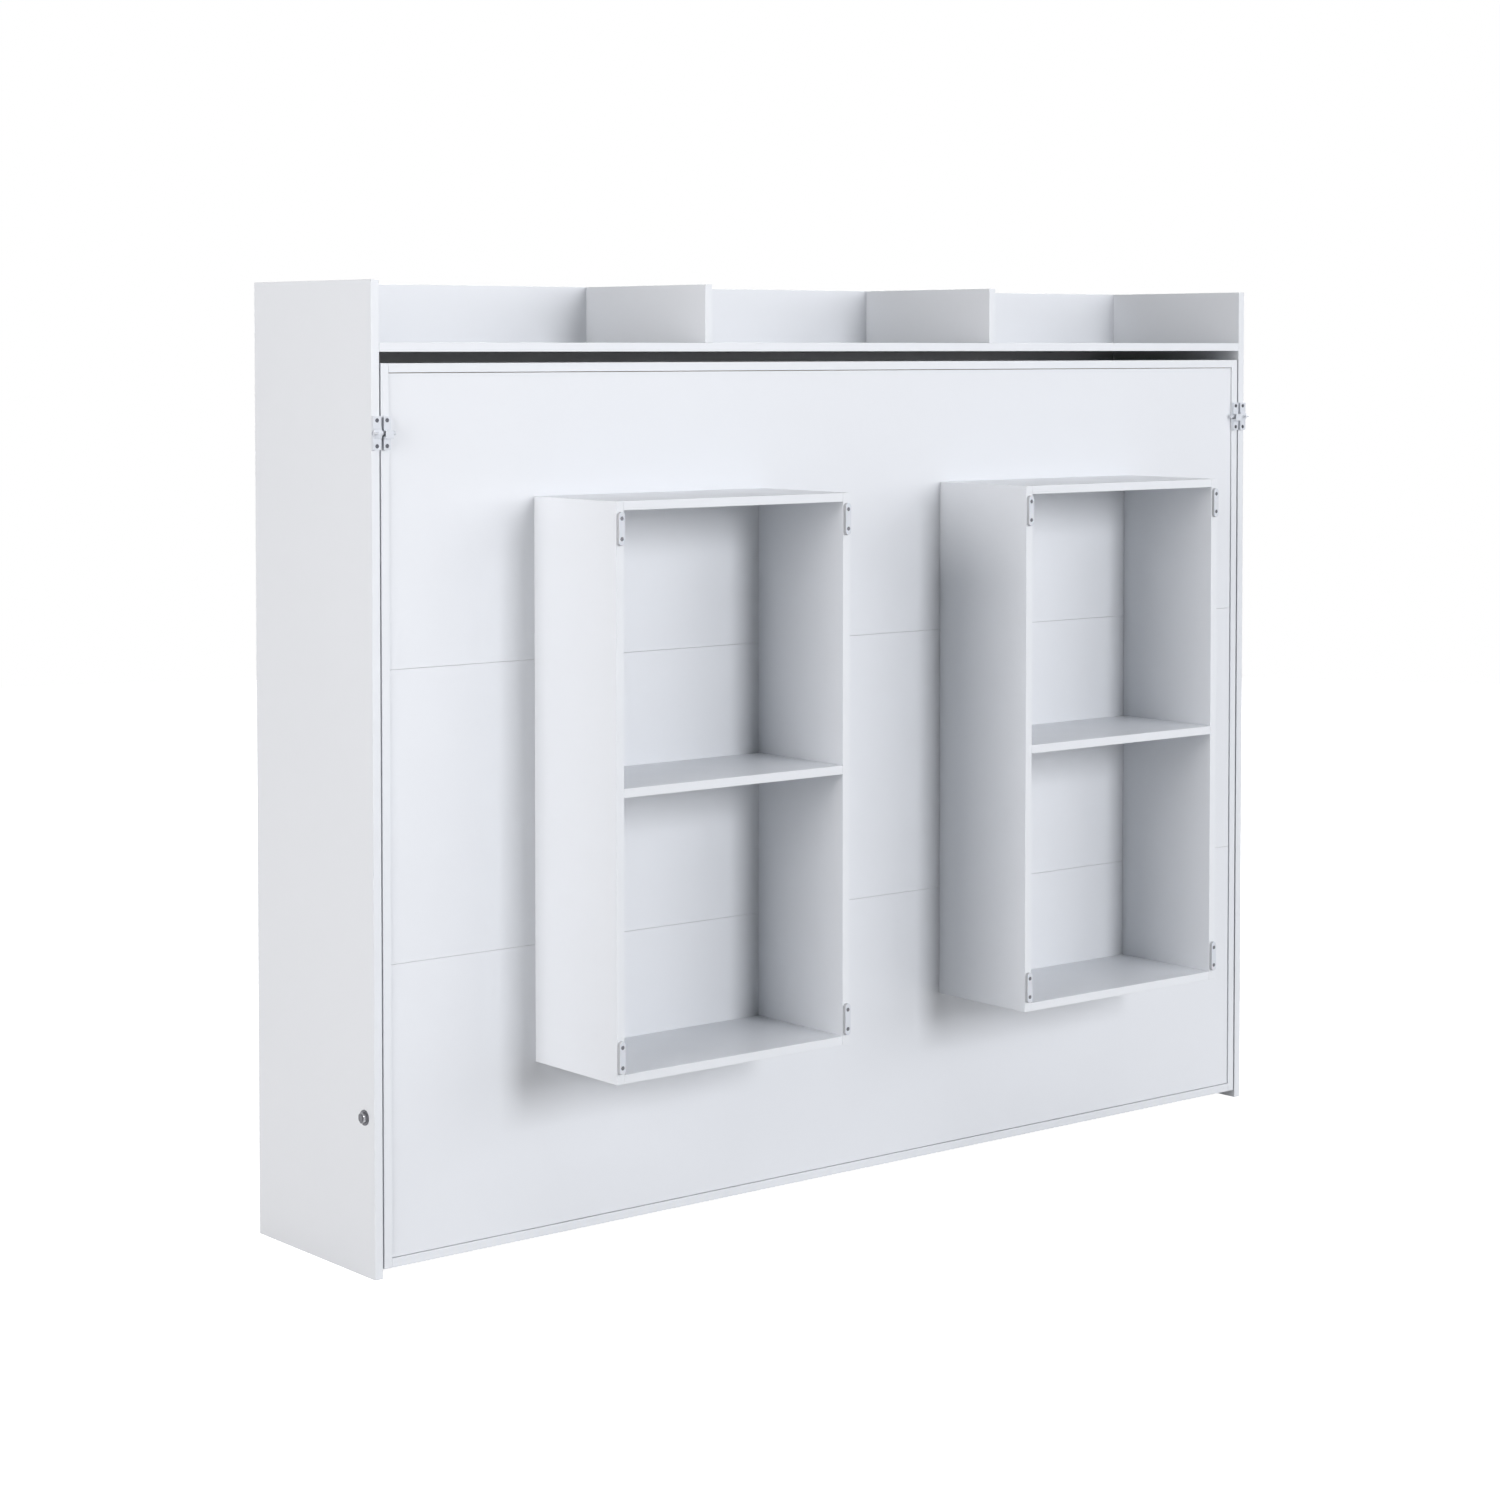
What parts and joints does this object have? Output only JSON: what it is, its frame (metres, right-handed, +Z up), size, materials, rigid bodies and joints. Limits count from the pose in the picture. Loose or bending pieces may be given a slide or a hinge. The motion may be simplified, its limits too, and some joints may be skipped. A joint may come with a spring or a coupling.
{
  "type": "wall bed",
  "caption": "Horizontal wall bed: a shallow cabinet with a gallery shelf, and a slatted bed that folds down sideways onto two open shelf boxes that become its legs.",
  "frame": {"origin": "on the floor, midway between the two ends and midway between the front of the boxes' glides and the back of the cabinet, with the bed folded up", "axes": "+X to the right along the bed, +Y towards the wall behind the cabinet, +Z up"},
  "size_m": [2.045, 0.589, 1.6],
  "materials": {
    "melamine": "satin white melamine",
    "backboard": "thin white-faced hardboard",
    "beam_wood": "planed pine",
    "slat_wood": "planed poplar",
    "steel": "nickel plated",
    "dark_steel": "black oxide",
    "latch_white": "powder coated",
    "nylon": "moulded",
    "rubber": "matt"
  },
  "bodies": {
    "cabinet": {"left_side_panel": "melamine", "right_side_panel": "melamine", "top_shelf": "melamine", "upper_back_board": "melamine", "lower_back_rail": "melamine", "left_divider": "melamine", "right_divider": "melamine", "left_back_panel": "backboard", "centre_back_panel": "backboard", "right_back_panel": "backboard", "back_panel_joiners": "nylon", "left_stop_block": "melamine", "right_stop_block": "melamine", "stop_bumpers": "rubber", "left_pivot_bolt": "steel", "right_pivot_bolt": "steel", "pivot_nuts": "steel", "pivot_washers": "steel", "thrust_washers": "nylon", "left_latch_plate": "latch_white", "right_latch_plate": "latch_white", "latch_plate_screws": "dark_steel", "cam_locks": "steel", "cam_bolts": "steel", "divider_dowels": "beam_wood"},
    "bed": {"bed_left_rail": "melamine", "bed_right_rail": "melamine", "bed_top_rail": "melamine", "bed_bottom_rail": "melamine", "upper_front_board": "melamine", "middle_front_board": "melamine", "lower_front_board": "melamine", "upper_support_beam": "beam_wood", "lower_support_beam": "beam_wood", "top_ledger": "beam_wood", "bottom_ledger": "beam_wood", "mattress_slats": "slat_wood", "left_pivot_bush": "nylon", "right_pivot_bush": "nylon", "left_keeper": "latch_white", "right_keeper": "latch_white", "keeper_screws": "dark_steel", "bed_frame_bolts": "steel", "bed_barrel_nuts": "steel", "left_box_left_side": "melamine", "left_box_right_side": "melamine", "left_box_top": "melamine", "left_box_middle_shelf": "melamine", "left_box_bottom": "melamine", "right_box_left_side": "melamine", "right_box_right_side": "melamine", "right_box_top": "melamine", "right_box_middle_shelf": "melamine", "right_box_bottom": "melamine", "box_glides": "nylon", "glide_screws": "dark_steel", "box_screws": "steel", "box_dowels": "beam_wood"},
    "left_latch_bolt": {"left_latch_bolt": "latch_white"},
    "right_latch_bolt": {"right_latch_bolt": "latch_white"}
  },
  "joints": [
    {"name": "bed_fold", "type": "hinge", "parent": "cabinet", "child": "bed", "pos_m": [0, -0.0365, 0.258], "axis": [1, 0, 0], "range_deg": [0, 90]},
    {"name": "left_latch_slide", "type": "slide", "parent": "cabinet", "child": "left_latch_bolt", "axis": [-1, 0, 0], "range_m": [0, 0.024]},
    {"name": "right_latch_slide", "type": "slide", "parent": "cabinet", "child": "right_latch_bolt", "axis": [1, 0, 0], "range_m": [0, 0.024]}
  ]
}
